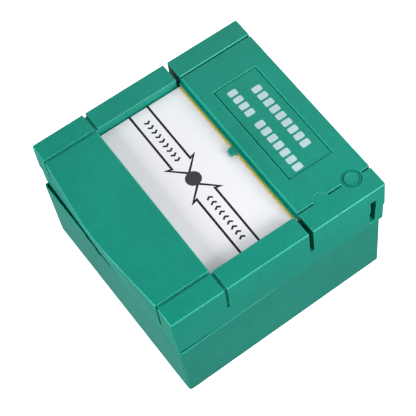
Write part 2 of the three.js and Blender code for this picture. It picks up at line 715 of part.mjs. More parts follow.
// yellow flag that drops over the top edge of the pressed plate
function makeFlag() {
  const blade = block(-flagHalfWidth, flagHalfWidth, flagEdge, flagEdge + flagTail, flagLow, flagTop);
  const notchHalf = catchWidth / 2 + fit;
  const notch = block(-notchHalf, notchHalf, flagEdge - clear, flagEdge + latchTravel,
    flagLow - clear, flagTop + clear);
  const stem = block(-flagStemWidth / 2, flagStemWidth / 2, flagEdge + flagTail - flagStemDepth,
    flagEdge + flagTail, flagLow - flagStemDepth, flagLow + flagLift);
  return blade.subtract(notch).add(stem);
}
addPart('flag', makeFlag(), yellowPlastic);

// plate return springs: a wire carried along a helix
class Coil extends THREE.Curve {
  constructor(x, y, z0, z1) {
    super();
    Object.assign(this, { x, y, z0, z1 });
  }

  getPoint(t, target = new THREE.Vector3()) {
    const turn = 2 * Math.PI * springTurns * t;
    const radius = springRadius - springWire;
    return target.set(this.x + radius * Math.cos(turn), this.y + radius * Math.sin(turn),
      this.z0 + (this.z1 - this.z0) * t);
  }
}
function makeSpring(x) {
  const wire = new THREE.Shape();
  wire.absarc(0, 0, springWire, 0, 2 * Math.PI);
  const path = new Coil(x, springY, deckTop + springWire + springEndGap,
    carrierLow - springWire - springEndGap);
  return toSolid(new THREE.ExtrudeGeometry(wire, {
    steps: springTurns * springSteps, curveSegments: 3, extrudePath: path,
  }));
}
for (const [name, side] of sides) addPart(`plate_spring_${name}`, makeSpring(side * springX), steel);

// snap switches under the carrier, each with its plunger
function makeSwitch(x) {
  const body = block(x - switchLength / 2, x + switchLength / 2, switchY - switchWidth / 2,
    switchY + switchWidth / 2, switchLow, switchTop);
  const well = post(x, switchY, switchTop - plungerTravel - plungerInside - fit, switchTop + clear,
    plungerRadius + holeFit, screwSides);
  const blades = [-switchBladeGap, 0, switchBladeGap].map((offset) => (
    block(x + offset - bladeThickness / 2, x + offset + bladeThickness / 2, switchY - switchBladeWidth / 2,
      switchY + switchBladeWidth / 2, switchLow - switchBladeLength, switchLow + root)));
  return join([body.subtract(well), ...blades]);
}
for (const [name, side] of sides) {
  const x = side * switchMiddle;
  addPart(`switch_${name}`, makeSwitch(x), blackPlastic);
  addPart(`plunger_${name}`, post(x, switchY, switchTop - plungerInside, switchTop + plungerRise,
    plungerRadius, screwSides), redPlastic);
}

// reset latch: a slide on the deck, its pad behind the key slot and its nose beside the carrier tab.
// The nose stands clear above the tab's pressed height and reaches over it by the travel.
function makeLatch() {
  const low = deckTop + latchLift;
  const high = low + latchThickness;
  const reachY = latchWidth / 2;
  const noseEnd = latchTabX - (latchTravel - latchOverlap);
  const armLeft = noseEnd - latchTabWidth;
  const tabEnd = carrierEdge + latchTabReach;
  const pressedTop = carrierTop - (tabEnd - pivotY) * Math.sin(pressAngle * Math.PI / 180);
  const noseLow = pressedTop + 2 * fit + plateSideGap / 2;
  const noseHigh = noseLow + pocketWall;
  const arm = tabEnd + root;
  return join([
    block(armLeft, latchPadX, slotMiddle - reachY, slotMiddle + reachY, low, high),
    block(latchPadX - latchPadThickness, latchPadX, slotMiddle - reachY, slotMiddle + reachY, low,
      slotHigh - latchPadBelowSlot),
    block(armLeft, armLeft + latchWidth, arm, slotMiddle + reachY, low, high),
    block(armLeft, armLeft + latchWidth, arm, arm + latchPostDepth, low, noseHigh),
    block(armLeft, noseEnd, arm - latchNoseReach, arm + latchPostDepth, noseLow, noseHigh),
  ]);
}
addPart('reset_latch', makeLatch(), whitePlastic);

const terminalPlaces = Array.from({ length: terminalWays }, (_, i) => (
  (i - (terminalWays - 1) / 2) * terminalPitch));

// terminal block under the deck with its clamp screws facing the wall
function makeTerminals() {
  const length = terminalWays * terminalPitch;
  const body = block(-length / 2, length / 2, terminalY - terminalDepth / 2, terminalY + terminalDepth / 2,
    terminalLow, terminalTop);
  const holes = terminalPlaces.flatMap((x) => [
    post(x, terminalY, terminalLow - clear, terminalLow + terminalHoleDepth,
      terminalScrewRadius + 2 * threadGap, screwSides),
    bore(x, terminalY + terminalWireStop, terminalY + terminalDepth / 2 + clear,
      terminalLow + terminalWireHeight, terminalWireRadius, smallSides),
  ]);
  return cut(body, holes);
}
addPart('terminal_block', makeTerminals(), blockPlastic);

// screw with a slotted head; its head points to +Z when up is 1 and to -Z when up is -1
function makeScrew(x, y, seat, up, shank, head) {
  const between = (za, zb) => [Math.min(za, zb), Math.max(za, zb)];
  const reach = head.radius + clear;
  return post(x, y, ...between(seat, seat + up * head.height), head.radius)
    .add(post(x, y, ...between(seat + up * fit, seat - up * shank.length), shank.radius, screwSides))
    .subtract(block(x - driveWidth / 2, x + driveWidth / 2, y - reach, y + reach,
      ...between(seat + up * (head.height - driveDepth), seat + up * (head.height + clear))));
}
const terminalShank = { radius: terminalShankRadius, length: terminalShankLength };
const terminalHead = { radius: terminalScrewRadius, height: terminalHeadHeight };
terminalPlaces.forEach((x, i) => {
  addPart(`terminal_screw_${i + 1}`, makeScrew(x, terminalY, terminalLow + terminalSeatDepth, -1,
    terminalShank, terminalHead), brass);
});
for (const [name, side] of sides) {
  const unitScrew = makeScrew(side * screwOffset, 0, deckTop + seatGap, 1,
    { radius: unitScrewRadius, length: unitScrewLength }, { radius: headRadius, height: headHeight });
  addPart(`unit_screw_${name}`, unitScrew, steel, boxGroup);
  const fasciaScrew = makeScrew(side * fasciaScrewX, fasciaScrewY, deckLow - seatGap, -1,
    { radius: fasciaScrewRadius, length: fasciaScrewLength },
    { radius: fasciaHeadRadius, height: fasciaHeadHeight });
  addPart(`fascia_screw_${name}`, fasciaScrew, steel);
}

export default assembly;
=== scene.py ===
# Resettable manual call point for releasing a door: a press plate in a recessed window, two green
# fascias on a housing, and a surface back box. Metres, +Z out of the wall, +Y the top of the face.
import bmesh
import bpy
import json
import math
import numpy as np
from mathutils import Matrix, Vector


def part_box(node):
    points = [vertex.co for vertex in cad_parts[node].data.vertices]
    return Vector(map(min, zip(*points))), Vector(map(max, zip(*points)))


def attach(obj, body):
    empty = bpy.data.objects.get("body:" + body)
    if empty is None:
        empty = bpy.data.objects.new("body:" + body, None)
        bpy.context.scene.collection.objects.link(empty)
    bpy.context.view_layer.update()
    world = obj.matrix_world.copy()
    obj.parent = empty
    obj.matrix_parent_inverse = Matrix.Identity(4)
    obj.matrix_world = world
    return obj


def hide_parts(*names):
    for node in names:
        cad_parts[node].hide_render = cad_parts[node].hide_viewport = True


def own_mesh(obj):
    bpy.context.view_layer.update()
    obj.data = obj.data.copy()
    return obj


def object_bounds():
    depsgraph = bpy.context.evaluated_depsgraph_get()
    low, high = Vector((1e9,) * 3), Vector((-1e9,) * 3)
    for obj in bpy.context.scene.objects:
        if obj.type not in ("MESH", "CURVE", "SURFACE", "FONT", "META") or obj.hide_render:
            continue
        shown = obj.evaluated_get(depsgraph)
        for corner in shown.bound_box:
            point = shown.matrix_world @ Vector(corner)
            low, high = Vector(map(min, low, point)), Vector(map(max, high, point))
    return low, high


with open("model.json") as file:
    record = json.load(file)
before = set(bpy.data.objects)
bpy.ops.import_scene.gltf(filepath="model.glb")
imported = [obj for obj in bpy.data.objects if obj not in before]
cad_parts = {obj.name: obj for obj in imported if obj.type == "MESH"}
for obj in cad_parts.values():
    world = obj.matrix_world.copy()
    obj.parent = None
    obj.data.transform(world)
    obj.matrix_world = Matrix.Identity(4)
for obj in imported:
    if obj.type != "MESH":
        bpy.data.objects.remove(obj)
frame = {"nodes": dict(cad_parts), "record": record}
cadLow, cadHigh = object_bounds()
mm = 0.001
scene = bpy.context.scene
bodies = frame["record"]["behaviour"]["bodies"]
bodyOf = {node: body for body, nodes in bodies.items() for node in nodes}
slotOf = {part["node"]: part["material_slot"] for part in frame["record"]["subparts"]}


# camera, floor and light
cameraSet = {
    "azimuth": 64.57,                          # degrees round +Z from looking along +Y
    "elevation": 59.6,                         # degrees above the floor
    "roll": -10.69,                            # degrees about the view direction
    "place": (0.23994, -0.11606, 0.47918),
    "lens": 129.26,                            # focal length and sensor width, mm
    "sensor": 36,
    "nearest": 0.01,                           # nothing closer than this is seen, metres
}


# the camera's turn has its own axes as columns: back points from the object to the camera by azimuth and
# elevation, right is the level right hand rolled about back, and up is back crossed with right
def makeCamera(look):
    azimuth, elevation, roll = (math.radians(look[key]) for key in ("azimuth", "elevation", "roll"))
    back = Vector((math.sin(azimuth) * math.cos(elevation), -math.cos(azimuth) * math.cos(elevation),
                   math.sin(elevation)))
    level = Vector((math.cos(azimuth), math.sin(azimuth), 0))
    right = math.cos(roll) * level + math.sin(roll) * back.cross(level)
    turn = Matrix((right, back.cross(right), back)).transposed()
    data = bpy.data.cameras.new("camera")
    data.lens = look["lens"]
    data.sensor_width = look["sensor"]
    data.clip_start = look["nearest"]
    camera = bpy.data.objects.new("camera", data)
    camera.matrix_world = Matrix.Translation(look["place"]) @ turn.to_4x4()
    scene.collection.objects.link(camera)
    scene.camera = camera


studioSet = {
    "floorSize": 6.0,
    "floorColor": (0.86, 0.86, 0.87, 1),
    "floorRough": 0.9,
    "floorShine": 0.1,
    "floorGlow": 0.95,
    "skyColor": (0.93, 0.96, 1.0, 1),
    "skyStrength": 0.27,
    "lamps": {                                 # place, size, watts, colour
        "back": ((-0.6, 0.5, 0.8), 0.6, 1.9, (1.0, 0.99, 0.97)),
        "side": ((0.45, 0.05, 0.2), 0.25, 1.0, (0.98, 0.99, 1.0)),
        "sideHigh": ((0.5, 0.3, 1.0), 0.6, 3.2, (0.98, 0.99, 1.0)),
        "near": ((0.22, 0.14, 0.16), 0.1, 0.5, (0.98, 1.0, 1.0)),
        "low": ((0.0, -0.6, 0.2), 0.4, 5.0, (0.93, 0.97, 1.0)),
    },
}


# each lamp is a square light at its place whose -Z axis points at the middle of the object's height; the
# floor is a square from minus half to plus half its size
def makeStudio(look):
    world = bpy.data.worlds.new("studio")
    world.use_nodes = True
    sky = world.node_tree.nodes["Background"]
    sky.inputs["Color"].default_value = look["skyColor"]
    sky.inputs["Strength"].default_value = look["skyStrength"]
    scene.world = world
    half = look["floorSize"] / 2
    data = bpy.data.meshes.new("floor")
    data.from_pydata([(-half, -half, 0), (half, -half, 0), (half, half, 0), (-half, half, 0)], [],
                     [(0, 1, 2, 3)])
    floor = bpy.data.objects.new("floor", data)
    scene.collection.objects.link(floor)
    material = bpy.data.materials.new("paleFloor")
    material.use_nodes = True
    shader = material.node_tree.nodes["Principled BSDF"]
    shader.inputs["Base Color"].default_value = look["floorColor"]
    shader.inputs["Roughness"].default_value = look["floorRough"]
    shader.inputs["Specular IOR Level"].default_value = look["floorShine"]
    shader.inputs["Emission Color"].default_value = (1, 1, 1, 1)
    shader.inputs["Emission Strength"].default_value = look["floorGlow"]
    data.materials.append(material)
    floor.visible_diffuse = False              # the glowing floor is seen but lights nothing:
    floor.visible_glossy = False               # the sky stands in for a white tent all round
    target = Vector((0, 0, (cadLow.z + cadHigh.z) / 2))
    for name, (place, size, watts, color) in look["lamps"].items():
        lamp = bpy.data.lights.new(name, "AREA")
        lamp.size = size
        lamp.energy = watts
        lamp.color = color
        stand = bpy.data.objects.new(name, lamp)
        stand.location = place
        stand.rotation_euler = (target - Vector(place)).to_track_quat("-Z", "Y").to_euler()
        scene.collection.objects.link(stand)
    scene.view_settings.view_transform = "Standard"
    scene.view_settings.look = "None"


makeCamera(cameraSet)
makeStudio(studioSet)
print("camera and studio ready")


# finishes
# each finish: colour, how far the colour drifts, roughness, depth of the fine skin texture, shine
plasticSet = {
    "green_plastic": {"color": (0.004, 0.230, 0.163),
                      "drift": 0.12, "rough": 0.34, "grain": 0.14, "shine": 0.18},
    # the back box's green is darker than the fascias' green_plastic: painted shade for the box's walls, which
    # take less light than the fascias
    "box_plastic": {"color": (0.004, 0.205, 0.150),
                    "drift": 0.13, "rough": 0.36, "grain": 0.16, "shine": 0.28},
    "white_plastic": {"color": (0.775, 0.762, 0.785),
                      "drift": 0.012, "rough": 0.34, "grain": 0.02, "shine": 0.3},
    "grey_plastic": {"color": (0.47, 0.49, 0.50),
                     "drift": 0.06, "rough": 0.50, "grain": 0.12, "shine": 0.4},
    # the flag's yellow is darker than its own colour as painted shade, for its place in the shade under the
    # window's ledge
    "yellow_plastic": {"color": (0.62, 0.44, 0.012),
                       "drift": 0.06, "rough": 0.40, "grain": 0.06, "shine": 0.4},
    "black_plastic": {"color": (0.012, 0.012, 0.014),
                      "drift": 0.20, "rough": 0.45, "grain": 0.15, "shine": 0.4},
    "red_plastic": {"color": (0.40, 0.020, 0.014),
                    "drift": 0.08, "rough": 0.35, "grain": 0.05, "shine": 0.5},
    "block_plastic": {"color": (0.040, 0.190, 0.070),
                      "drift": 0.10, "rough": 0.50, "grain": 0.12, "shine": 0.4},
}
metalSet = {
    "steel": {"color": (0.56, 0.57, 0.58),
              "drift": 0.12, "rough": 0.30, "grain": 0.10, "shine": 0.5},
    "brass": {"color": (0.66, 0.45, 0.17),
              "drift": 0.15, "rough": 0.28, "grain": 0.10, "shine": 0.5},
}
inkSet = {
    "plateInk": {"color": (0.012, 0.012, 0.013),
                 "drift": 0.30, "rough": 0.55, "grain": 0.05, "shine": 0.2},
    "labelInk": {"color": (0.42, 0.56, 0.57),
                 "drift": 0.14, "rough": 0.50, "grain": 0.05, "shine": 0.3},
    "dotInk": {"color": (0.040, 0.040, 0.043),
               "drift": 0.30, "rough": 0.50, "grain": 0.05, "shine": 0.2},
}


skinSet = {
    "driftScale": 35,                          # cells of each noise in a metre, and its octaves
    "driftDetail": 3,
    "driftShare": 0.6,                         # share of the slow noise in the colour, the rest is mottle
    "mottleScale": 420,
    "mottleDetail": 4,
    "roughScale": 160,
    "roughDetail": 4,
    "roughSpread": 0.15,                       # roughness goes up and down by this share
    "grainScale": 5200,
    "grainDetail": 2,
    "grainDepth": 0.04,                        # mm
}
noiseLow, noiseHigh = 0.3, 0.7                 # nearly all of a noise lies between these


# noise of the object's own coordinates times scale, summed over detail octaves
def noise(tree, place, scale, detail):
    node = tree.nodes.new("ShaderNodeTexNoise")
    node.inputs["Scale"].default_value = scale
    node.inputs["Detail"].default_value = detail
    tree.links.new(place, node.inputs["Vector"])
    return node.outputs["Fac"]


# low + (high - low) x (value - noiseLow) / (noiseHigh - noiseLow), held between low and high
def spread(tree, value, low, high):
    node = tree.nodes.new("ShaderNodeMapRange")
    node.inputs["From Min"].default_value = noiseLow
    node.inputs["From Max"].default_value = noiseHigh
    node.inputs["To Min"].default_value = low
    node.inputs["To Max"].default_value = high
    tree.links.new(value, node.inputs["Value"])
    return node.outputs["Result"]


# the colour goes from (1 - drift) to (1 + drift) times itself by driftShare x slow noise + the rest x mottle,
# roughness goes from (1 - roughSpread) to (1 + roughSpread) times itself, and the finest noise lifts the skin
# by grainDepth x grain
def makeFinish(name, look, metallic=0.0, paintedHighlightGain=1.0):
    material = bpy.data.materials.new(name)
    material.use_nodes = True
    tree = material.node_tree
    shader = tree.nodes["Principled BSDF"]
    place = tree.nodes.new("ShaderNodeTexCoord").outputs["Object"]
    # for edge finishes the colour is painted lighter by this factor, a painted highlight
    color = [min(1.0, channel * paintedHighlightGain) for channel in look["color"]]
    mix = tree.nodes.new("ShaderNodeMix")
    mix.data_type = "RGBA"
    mix.inputs["A"].default_value = (*[channel * (1 - look["drift"]) for channel in color], 1)
    mix.inputs["B"].default_value = (*[min(1.0, channel * (1 + look["drift"])) for channel in color], 1)
    blend = tree.nodes.new("ShaderNodeMath")
    blend.operation = "MULTIPLY_ADD"
    blend.inputs[1].default_value = skinSet["driftShare"]
    slow = noise(tree, place, skinSet["driftScale"], skinSet["driftDetail"])
    tree.links.new(spread(tree, slow, 0, 1), blend.inputs[0])
    mottle = noise(tree, place, skinSet["mottleScale"], skinSet["mottleDetail"])
    tree.links.new(spread(tree, mottle, 0, 1 - skinSet["driftShare"]), blend.inputs[2])
    tree.links.new(blend.outputs["Value"], mix.inputs["Factor"])
    tree.links.new(mix.outputs["Result"], shader.inputs["Base Color"])
    rough, share = look["rough"], skinSet["roughSpread"]
    patches = noise(tree, place, skinSet["roughScale"], skinSet["roughDetail"])
    tree.links.new(spread(tree, patches, rough * (1 - share), rough * (1 + share)),
                   shader.inputs["Roughness"])
    bump = tree.nodes.new("ShaderNodeBump")
    bump.inputs["Strength"].default_value = look["grain"]
    bump.inputs["Distance"].default_value = skinSet["grainDepth"] * mm
    grain = noise(tree, place, skinSet["grainScale"], skinSet["grainDetail"])
    tree.links.new(grain, bump.inputs["Height"])
    tree.links.new(bump.outputs["Normal"], shader.inputs["Normal"])
    shader.inputs["Metallic"].default_value = metallic
    shader.inputs["Specular IOR Level"].default_value = look["shine"]
    return material


finishes = {name: makeFinish(name, look) for name, look in {**plasticSet, **inkSet}.items()}
finishes.update({name: makeFinish(name, look, 1.0) for name, look in metalSet.items()})
handled = {"rough": 0.26, "shine": 0.4}        # edges are rubbed glossier; their colour is also painted lighter below, a painted highlight
# each edge finish is its base plastic with its colour painted lighter by the given factor: a painted
# highlight along the rounded edges
edgeSet = {"green_edge_painted_highlight": ("green_plastic", 1.4), "box_edge_painted_highlight": ("box_plastic", 1.3)}
for name, (base, paintedHighlightGain) in edgeSet.items():
    finishes[name] = makeFinish(name, {**plasticSet[base], **handled}, 0, paintedHighlightGain)
for node, item in frame["nodes"].items():
    item.data.materials.clear()
    item.data.materials.append(finishes[slotOf[node]])
print("finishes ready")


# helpers for pieces
# an object at the origin with one finish, which rides its body
def addPiece(name, data, finish, body):
    piece = bpy.data.objects.new(name, data)
    scene.collection.objects.link(piece)
    data.materials.append(finishes[finish])
    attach(piece, body)
    return piece


# one quad for each cell of a grid of points, from (row, column) to (row + 1, column + 1); a closed direction
# also has the cells from its last line back to its first
def gridMesh(name, points, closedU=False, closedV=False):
    rows, columns = points.shape[:2]
    index = np.arange(rows * columns).reshape(rows, columns)
    down = np.roll(index, -1, 0) if closedU else index[1:]
    start = index if closedU else index[:-1]
    if closedV:
        corners = (start, down, np.roll(down, -1, 1), np.roll(start, -1, 1))
    else:
        corners = (start[:, :-1], down[:, :-1], down[:, 1:], start[:, 1:])
    faces = np.stack(corners, -1).reshape(-1, 4)
    data = bpy.data.meshes.new(name)
    data.from_pydata(points.reshape(-1, 3).tolist(), [], faces.tolist())
    data.polygons.foreach_set("use_smooth", np.ones(len(faces), bool))
    return data


mergeReach = 1e-7                              # points closer than this are one point
creaseAngle = math.radians(30)


# points within mergeReach become one, faces turn outward, and an edge is shaded sharp where its faces'
# normals differ by more than creaseAngle
def tidied(data):
    mesh = bmesh.new()
    mesh.from_mesh(data)
    bmesh.ops.remove_doubles(mesh, verts=mesh.verts, dist=mergeReach)
    bmesh.ops.recalc_face_normals(mesh, faces=mesh.faces)
    mesh.to_mesh(data)
    mesh.free()
    data.set_sharp_from_angle(angle=creaseAngle)
    return data


# moulded shells: the frame's solids with their edges rounded
# Each sharp edge is rounded by rounding, or less where there is no room for it. The room beside an edge
# is how far its face runs square to it, and the length of any neighbouring edge that turns away from it.
# Edges that run on into each other share one rounding.
shellSet = {
    "lower_fascia": {"name": "lower_fascia_shell", "rounding": 0.42, "segments": 4, "edge": "green_edge_painted_highlight"},
    "upper_fascia": {"name": "upper_fascia_shell", "rounding": 0.42, "segments": 4, "edge": "green_edge_painted_highlight"},
    "front_housing": {"name": "front_housing_shell", "rounding": 0.3, "segments": 3, "edge": "green_edge_painted_highlight"},
    "back_box": {"name": "back_box_shell", "rounding": 0.5, "segments": 3, "edge": "box_edge_painted_highlight"},
    "label_plate": {"name": "label_panel", "rounding": 0.12, "segments": 2, "edge": "green_edge_painted_highlight"},
    "press_plate": {"name": "press_plate_sheet", "rounding": 0.3, "segments": 3, "edge": "white_plastic"},
    "plate_carrier": {"name": "carrier_moulding", "rounding": 0.25, "segments": 2, "edge": "grey_plastic"},
    "flag": {"name": "flag_moulding", "rounding": 0.15, "segments": 2, "edge": "yellow_plastic"},
    "switch_left": {"name": "switch_case_left", "rounding": 0.25, "segments": 2, "edge": "black_plastic"},
    "switch_right": {"name": "switch_case_right", "rounding": 0.25, "segments": 2, "edge": "black_plastic"},
    "reset_latch": {"name": "latch_moulding", "rounding": 0.25, "segments": 2, "edge": "white_plastic"},
    "terminal_block": {"name": "terminal_moulding", "rounding": 0.25, "segments": 2, "edge": "block_plastic"},
}
sharpAngle = math.radians(33)
roomShare = 0.42                               # a rounding takes this share of the room beside its edge
shortRun = 24 * mm                             # a run shorter than this, as round a small hole,
shortShare = 0.4                               # gets this share of the full rounding
runOn = 0.82                                   # edges closer in direction than this cosine are one run
seamReach = 2e-6                               # corners closer than this are one corner
flatAngle = math.radians(0.15)                 # faces closer in direction than this are one face
leastSpan, leastWidth = 1e-9, 1e-7             # metres
freeRoom = 1.0                                 # where nothing lies across from an edge
turnedSet = {"rounding": 0.12, "segments": 2}


# the size of the cosine between the two directions is less than runOn
def turnsAway(edge, other):
    first = (edge.verts[1].co - edge.verts[0].co).normalized()
    second = (other.verts[1].co - other.verts[0].co).normalized()
    return abs(first.dot(second)) < runOn


# The in-plane distance from the middle of an edge, square to it, to the far side of its face. Each other
# edge is seen as side, along the edge, and depth, into the face. Where side changes sign it is met at
# depth0 - side0 x (depth1 - depth0) / (side1 - side0), and the least of these counts.
def faceWidth(edge, face):
    start, end = (vert.co for vert in edge.verts)
    centre = (start + end) / 2
    along = (end - start).normalized()
    inward = face.normal.cross(along)
    loop = next(loop for loop in face.loops if loop.edge == edge)
    if (loop.link_loop_next.vert.co - loop.vert.co).dot(along) < 0:
        inward = -inward
    ends = np.array([[vert.co for vert in other.verts] for other in face.edges if other != edge])
    ends = ends - np.array(centre)
    side = ends @ np.array(along)
    depth = ends @ np.array(inward)
    crosses = (side[:, 0] * side[:, 1] < 0) & (np.abs(side[:, 1] - side[:, 0]) > leastSpan)
    side, depth = side[crosses], depth[crosses]
    hits = depth[:, 0] - side[:, 0] * (depth[:, 1] - depth[:, 0]) / (side[:, 1] - side[:, 0])
    hits = hits[hits > leastWidth]
    return hits.min() if len(hits) else freeRoom


# the least of the widths of both faces and the lengths of the sharp neighbours that turn away
def edgeRoom(edge, sharp):
    around = [other.calc_length() for vert in edge.verts for other in vert.link_edges
              if other in sharp and other != edge and turnsAway(edge, other)]
    return min([faceWidth(edge, face) for face in edge.link_faces] + around)


# sharp edges gathered into runs: a run goes on through a vertex where an edge doesn't turn away
def edgeChains(sharp):
    left = set(sharp)
    while left:
        chain = [left.pop()]
        for edge in chain:
            onward = {other for vert in edge.verts for other in vert.link_edges
                      if other in left and not turnsAway(edge, other)}
            left -= onward
            chain.extend(onward)
        yield chain


# An edge's weight is the lesser of 1, or shortShare on a short run, and roomShare x room / rounding, where
# room is the least in its run. The bevel is rounding x weight wide.
def makeShell(node, look):
    rounding = look["rounding"] * mm
    mesh = bmesh.new()
    mesh.from_mesh(frame["nodes"][node].data)
    bmesh.ops.remove_doubles(mesh, verts=mesh.verts, dist=seamReach)
    bmesh.ops.dissolve_limit(mesh, angle_limit=flatAngle, verts=mesh.verts, edges=mesh.edges)
    weights = mesh.edges.layers.float.new("bevel_weight_edge")
    sharp = {edge for edge in mesh.edges if edge.calc_face_angle(0) >= sharpAngle}
    for edge in mesh.edges:
        edge.smooth = edge not in sharp
    for chain in edgeChains(sharp):
        room = min(edgeRoom(edge, sharp) for edge in chain)
        short = sum(edge.calc_length() for edge in chain) < shortRun
        for edge in chain:
            edge[weights] = min(shortShare if short else 1.0, roomShare * room / rounding)
    for face in mesh.faces:
        face.smooth = True
    data = bpy.data.meshes.new(look["name"])
    mesh.to_mesh(data)
    mesh.free()
    piece = addPiece(look["name"], data, slotOf[node], bodyOf[node])
    data.materials.append(finishes[look["edge"]])
    bevel = piece.modifiers.new("rounding", "BEVEL")
    bevel.limit_method = "WEIGHT"
    bevel.width = rounding
    bevel.segments = look["segments"]
    bevel.use_clamp_overlap = False
    bevel.loop_slide = False
    bevel.harden_normals = True
    # the rounded faces take the edge finish, which on the green shells is painted lighter: a painted
    # highlight
    bevel.material = 1
    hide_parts(node)


for node, look in shellSet.items():
    makeShell(node, look)
for node in sorted(frame["nodes"]):            # pins, plungers and screws all get one small rounding
    if "screw" in node or "plunger" in node or node == "pivot_pin":
        makeShell(node, {**turnedSet, "name": node + "_turned", "edge": slotOf[node]})
print("shells ready")


# plugs: a profile of radius and height turned about an upright axis
# centre + radius x (cosine, sine) of angles spaced evenly from start to stop, in degrees
def arcPoints(centre, radius, start, stop, steps=6):
    angle = np.radians(np.linspace(start, stop, steps))
    return np.stack([centre[0] + radius * np.cos(angle), centre[1] + radius * np.sin(angle)], 1)


# each profile point goes to centre + its radius x (cosine, sine) at its height, for steps angles round the
# axis, and the profile's two ends lie on the axis
def turned(name, centre, profile, steps=96):
    angle = np.linspace(0, 2 * math.pi, steps, endpoint=False)
    radius, height = np.asarray(profile).T
    across = centre[0] + np.outer(np.cos(angle), radius)
    upward = centre[1] + np.outer(np.sin(angle), radius)
    points = np.stack([across, upward, np.broadcast_to(height, (steps, len(radius)))], -1)
    return tidied(gridMesh(name, points, closedU=True))


plugSet = {
    "rim": 0.30,                               # width of the raised bead round the plug's disc
    "dish": 0.14,                              # the disc sinks by this inside the bead
    "step": 0.85,                              # the shoulder's width and how far it lies below the top
    "drop": 0.35,
    "ditch": 0.22,                             # width and depth of the dark ring round the raised disc
    "ditchDepth": 0.7,
    "round": 0.12,
    "discGrowth": 0.13,                        # the disc is this much wider than its solid
    "discRound": 0.04,
}


# the profile climbs the rounded shoulder at the solid's own radius, drops into the ditch, climbs the raised
# disc, whose radius is less by step, and falls by dish inside the bead
def makeRingPlug(look):
    low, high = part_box("ring_plug")
    centre = (low + high) / 2
    outer = (high.x - low.x) / 2
    raised, shoulder = outer - look["step"] * mm, high.z - look["drop"] * mm
    top = high.z
    soft, dish, rim = (look[key] * mm for key in ("round", "dish", "rim"))
    ditch, ditchDepth = (look[key] * mm for key in ("ditch", "ditchDepth"))
    profile = np.concatenate([
        [[0, low.z], [outer, low.z]],
        arcPoints((outer - soft, shoulder - soft), soft, 0, 90),
        [[raised + ditch, shoulder], [raised + ditch, shoulder - ditchDepth],
         [raised, shoulder - ditchDepth]],
        arcPoints((raised - soft, top - soft), soft, 0, 90),
        [[raised - rim, top], [raised - rim - dish, top - dish], [0, top - dish]],
    ])
    piece = addPiece("ring_plug_turned", turned("ring_plug_turned", centre, profile), "green_plastic", "case")
    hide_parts("ring_plug")


# a flat disc whose radius is the solid's plus discGrowth, with its top edge rounded by discRound
def makeBlankingDisc(look):
    low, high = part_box("blanking_disc")
    centre = (low + high) / 2
    outer = (high.x - low.x) / 2 + look["discGrowth"] * mm
    soft = look["discRound"] * mm
    profile = np.concatenate([
        [[0, low.z], [outer, low.z]],
        arcPoints((outer - soft, high.z - soft), soft, 0, 90),
        [[0, high.z]],
    ])
    piece = addPiece("blanking_disc_turned", turned("blanking_disc_turned", centre, profile), "green_plastic",
                     "case")
    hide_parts("blanking_disc")


makeRingPlug(plugSet)
makeBlankingDisc(plugSet)
print("plugs ready")


# springs
springSet = {
    "turns": 6.5,
    "closed": 0.85,                            # closed turns at each end
    "wire": 0.35,                              # wire radius, mm
    "nest": 0.94,                              # a closed turn climbs this share of the wire's thickness
    "steps": 40,                               # rings in a turn
    "sides": 14,
    "keep": 0.7,                               # share of the height left when the plate is pressed
}


# Round wire along centre + radius x (cosine, sine) of 2 pi x turn. Closed turns climb nest x 2 x wire each,
# and the free turns share what is left of the height evenly. Rings of wire x (cosine x outward + sine x
# across) stand square to the path, and both ends close to a point.
def makeSpring(node, look):
    low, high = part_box(node)
    centre = (low + high) / 2
    wire = look["wire"] * mm
    radius = (high.x - low.x) / 2 - wire
    turn = np.linspace(0, look["turns"], int(look["turns"] * look["steps"]) + 1)
    free = np.clip((turn - look["closed"]) / (look["turns"] - 2 * look["closed"]), 0, 1)
    closedRise = 2 * wire * look["closed"] * look["nest"]
    climb = high.z - low.z - 2 * wire - 2 * closedRise
    closedTurns = np.minimum(turn, look["closed"]) + np.maximum(turn - look["turns"] + look["closed"], 0)
    height = low.z + wire + climb * free + 2 * wire * look["nest"] * closedTurns
    angle = 2 * math.pi * turn
    path = np.stack([centre.x + radius * np.cos(angle), centre.y + radius * np.sin(angle), height], -1)
    outward = np.stack([np.cos(angle), np.sin(angle), np.zeros_like(angle)], -1)
    along = np.gradient(path, axis=0)
    along /= np.linalg.norm(along, axis=1)[:, None]
    across = np.cross(along, outward)
    around = np.linspace(0, 2 * math.pi, look["sides"], endpoint=False)
    cosine, sine = np.cos(around)[None, :, None], np.sin(around)[None, :, None]
    section = cosine * outward[:, None] + sine * across[:, None]
    rings = path[:, None] + wire * section
    first, last = (np.repeat(end[None, None], look["sides"], 1) for end in (path[0], path[-1]))
    data = tidied(gridMesh(node + "_coil", np.concatenate([first, rings, last]), closedV=True))
    piece = addPiece(node + "_coil", data, "steel", "case")
    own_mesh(piece)
    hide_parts(node)


makeSpring("plate_spring_left", springSet)
makeSpring("plate_spring_right", springSet)
print("springs ready")


# printing on the plate and marks on the label
leastCosine = 0.35                             # the sharpest corner of a bar is cut off at this cosine
cornerSteps = 5                                # points round each corner of a block


